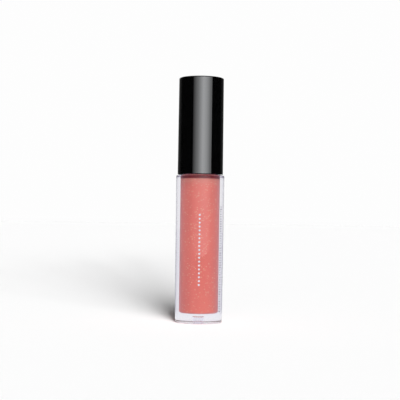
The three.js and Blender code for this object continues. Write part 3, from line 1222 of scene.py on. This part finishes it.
def makeTip():
    t = tipSize
    bore = t["boreRadius"]
    low, high = (span("flock_coat")[2] + height for height in t["drill"])
    ground = settled("ground", tipSurface(t["bed"]))
    hollow = settled("hollow", tipSurface(t["bed"] + t["bedWall"]))
    drill = turned("bore", [(0, low), (bore, low), (bore, high), (0, high)], 32)
    fibres = grown(ground, flockTree(), {
        "Density": t["fibres"] / t["area"] / mm ** 2, "Length": t["fibreLength"] * mm,
        "Width": t["fibreWidth"] * mm, "Lean": t["lean"], "Seed": t["seed"], "Material": soakedFlock,
    }, "flockTip")
    coat = merged(merged(ground, hollow, "DIFFERENCE"), drill, "DIFFERENCE")
    mesh = bmesh.new()
    mesh.from_mesh(fibres.data)
    mesh.from_mesh(coat.data)
    mesh.to_mesh(fibres.data)
    mesh.free()
    bpy.data.objects.remove(coat)
    smoothed(fibres.data, t["crease"])
    return dress(fibres, soakedFlock, "cap", "flock", "flock_coat")


flockTip = makeTip()
print("flocked tip made:", len(flockTip.data.polygons), "faces")

printSize = {
    "thick": 0.035,
    "sunk": 0.015,
    "dots": {"count": 19, "foot": 15.2, "top": 42.4, "compass": 0.0, "across": 0.78, "along": 0.78,
             "sides": 16, "twist": 0.0, "least": 1.0},
    "dashes": {"count": 44, "foot": 4.8, "top": 45.6, "compass": 61.0, "across": 1.9, "along": 0.75,
               "sides": 4, "twist": 45.0, "least": 0.45},
    "seed": 3,
    "dull": (0.74, 0.70, 0.77),
    "pale": (0.82, 0.78, 0.84),
    "grey": (0.42, 0.38, 0.47),  # of the side column
    "greyFrom": (4.0, 6.0),
    "roughness": (0.38, 0.5),
}


def printTree():
    # a column of small flat pads of ink up the tapering wall
    grow = Grower("inkColumn", {"Count": 2, "Foot": 0.0, "Top": 1.0, "Foot Radius": 1.0, "Top Radius": 1.0,
                                "Compass": 0.0, "Across": 0.1, "Along": 0.1, "Thick": 0.01, "Sides": 8,
                                "Twist": 0.0, "Least": 1.0, "Seed": 0, "Material": ""})
    across, along, thick, count = grow.numbers("Across", "Along", "Thick", "Count")
    start = grow.xyz(y=grow["Foot Radius"] * -1.0, z=grow["Foot"])
    end = grow.xyz(y=grow["Top Radius"] * -1.0, z=grow["Top"])
    share = grow.value("GeometryNodeInputIndex") / (count - 1.0)
    spot = grow.vector("ADD", start, grow.vector("SCALE", grow.vector("SUBTRACT", end, start), share))
    points = grow.shape("Points", {"Count": count, "Position": spot})
    pad = grow.shape("MeshCylinder", {
        "Vertices": grow["Sides"], "Radius": 0.5, "Depth": thick})
    pad = grow.moved(pad, Rotation=grow.xyz(z=grow["Twist"]))
    pad = grow.moved(pad, Scale=grow.xyz(across, along, 1.0))
    pad = grow.moved(pad, Rotation=grow.xyz(x=math.pi / 2))
    stature = grow.drawn(grow["Least"], 1.0, grow["Seed"])
    column = grow.shape("InstanceOnPoints", {
        "Points": points, "Instance": pad, "Scale": grow.xyz(1.0, 1.0, stature)})
    return grow.close(grow.moved(column, Rotation=grow.xyz(z=grow["Compass"])))


def inkRecipe(paint):
    # screen-printed ink, pale and faintly mottled
    p = printSize
    mottle = paint.noise(2.5, 3.0)
    x, _, _ = paint.axes()
    colour = paint.mix(paint.mix(p["dull"], p["pale"], mottle), p["grey"], x.fade(*p["greyFrom"]))
    return {"Base Color": colour, "Roughness": mottle.fade(0.3, 0.7, *p["roughness"])}


paleInk = surfaced("paleInk", inkRecipe, {"IOR": 1.5})


def wallRadius(height):
    # the bottle's outside, which tapers from its shoulder to its foot
    b = bottleSize
    return b["footRadius"] + (span("bottle")[0] - b["footRadius"]) * height / b["shoulderTop"]


def makePrint(name, column):
    middle = printSize["thick"] / 2 - printSize["sunk"]
    settings = {
        "Count": column["count"], "Foot": column["foot"] * mm, "Top": column["top"] * mm,
        "Foot Radius": (wallRadius(column["foot"]) + middle) * mm,
        "Top Radius": (wallRadius(column["top"]) + middle) * mm,
        "Compass": math.radians(column["compass"]), "Across": column["across"] * mm,
        "Along": column["along"] * mm, "Thick": printSize["thick"] * mm, "Sides": column["sides"],
        "Twist": math.radians(column["twist"]), "Least": column["least"], "Seed": printSize["seed"],
        "Material": paleInk}
    return dress(sprouted(printTree(), settings, name), paleInk, "bottle", "wiper_plastic")


dotPrint = makePrint("dotPrint", printSize["dots"])
dashPrint = makePrint("dashPrint", printSize["dashes"])
print("prints made")


def group(name, members):
    made = bpy.data.collections.new(name)
    for member in members:
        made.objects.link(member)
    return made


def litGroups():
    # the pieces by how they take light
    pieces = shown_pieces()
    matt = [piece for piece in pieces if piece not in (bottleBody, capShell)]
    return {"cap": group("litCap", [capShell]), "clear": group("litClear", [bottleBody]),
            "matt": group("litMatt", matt), "tube": group("litTube", pieces),
            "floor": group("litFloor", [floor]), "opaque": group("opaque", [capShell] + matt)}


makeLamps(litGroups())
print("lamps placed")
